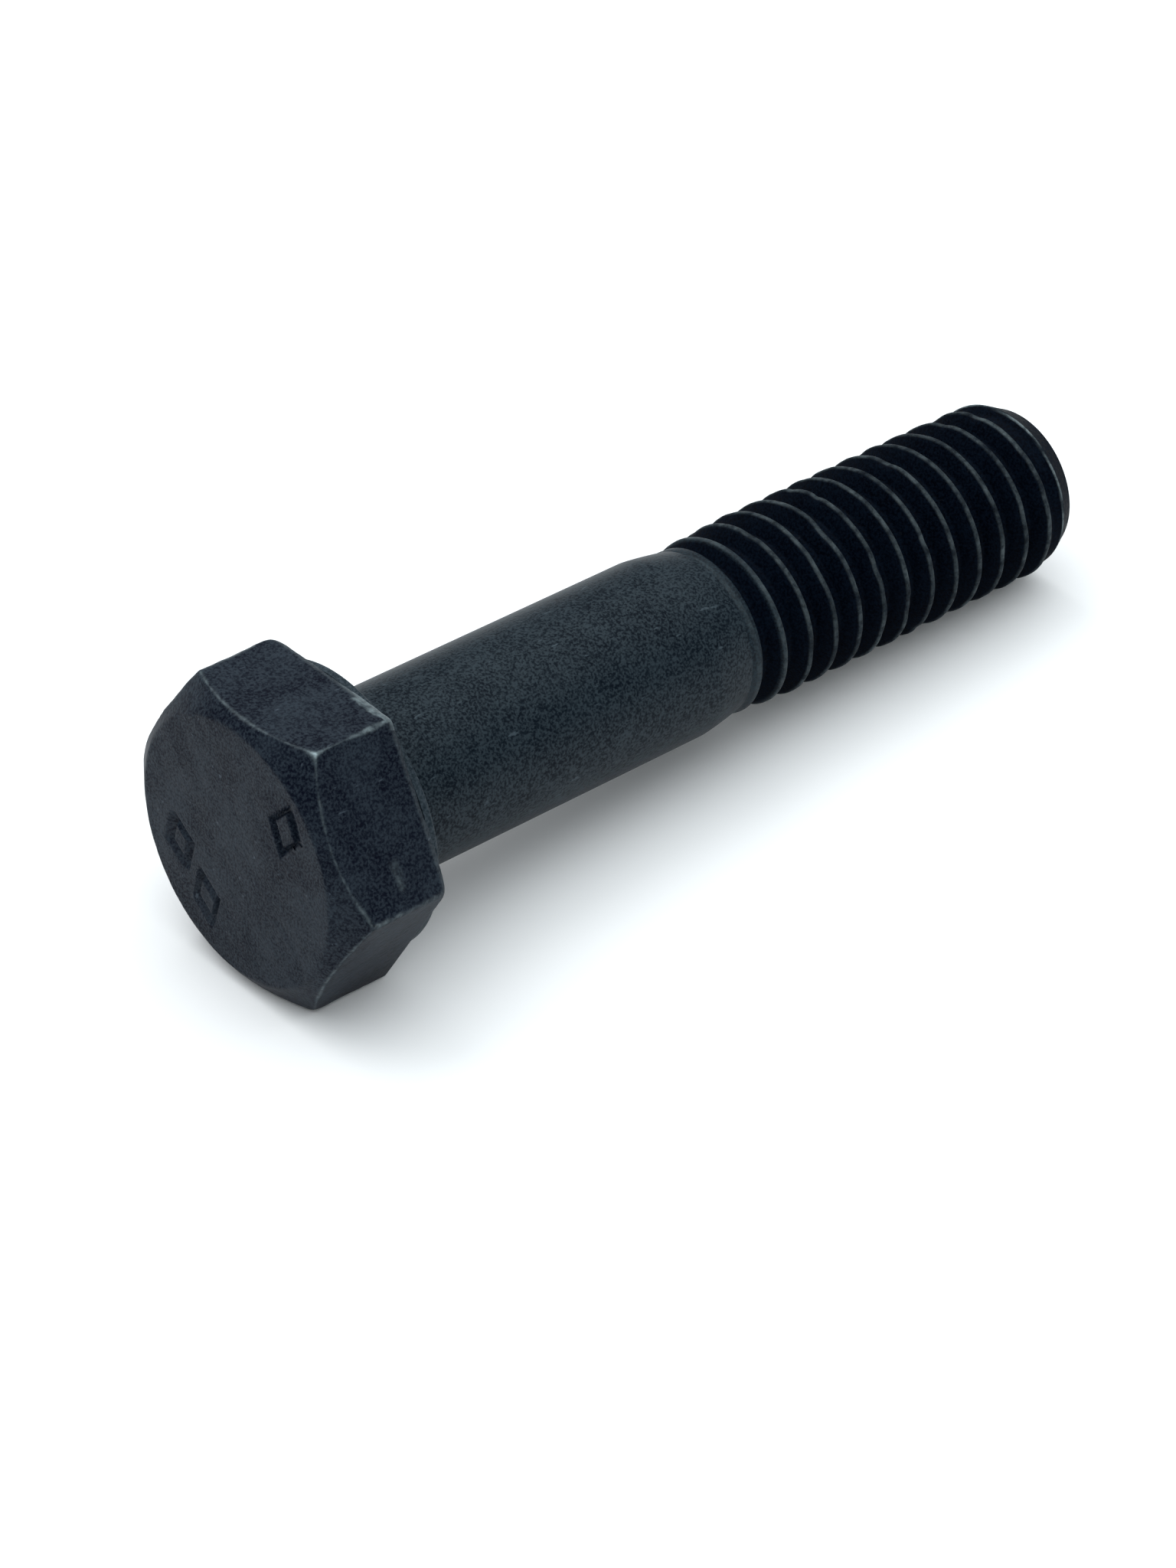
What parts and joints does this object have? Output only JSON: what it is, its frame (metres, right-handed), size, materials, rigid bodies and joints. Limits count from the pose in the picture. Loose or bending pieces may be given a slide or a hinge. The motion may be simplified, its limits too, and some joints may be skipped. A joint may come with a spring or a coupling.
{
  "type": "hex bolt",
  "caption": "Partly threaded hexagon-head steel bolt with a washer face, chamfered head and right-hand coarse thread, in dark oxide finish.",
  "frame": {"origin": "centre of the bearing face under the head, on the bolt's axis", "axes": "+X along the bolt's axis, from the head to the tip; +Z normal to the upper one of the hexagon's flats, so the bolt lies on the opposite flat; +Y towards a corner of the hexagon"},
  "size_m": [0.0435, 0.0146, 0.0126],
  "materials": {
    "head_oxide": "black oxide over a forged surface, mottled, worn bright along the edges",
    "bearing_oxide": "black oxide, thinner on the rubbed rim",
    "shank_oxide": "black oxide, satin, with small scuffs",
    "thread_oxide": "black oxide, oily dark flanks, crests rubbed grey"
  },
  "bodies": {
    "root": {"hex_head": "head_oxide", "washer_face": "bearing_oxide", "shank": "shank_oxide", "neck": "shank_oxide", "thread": "thread_oxide", "point": "thread_oxide"}
  },
  "joints": []
}
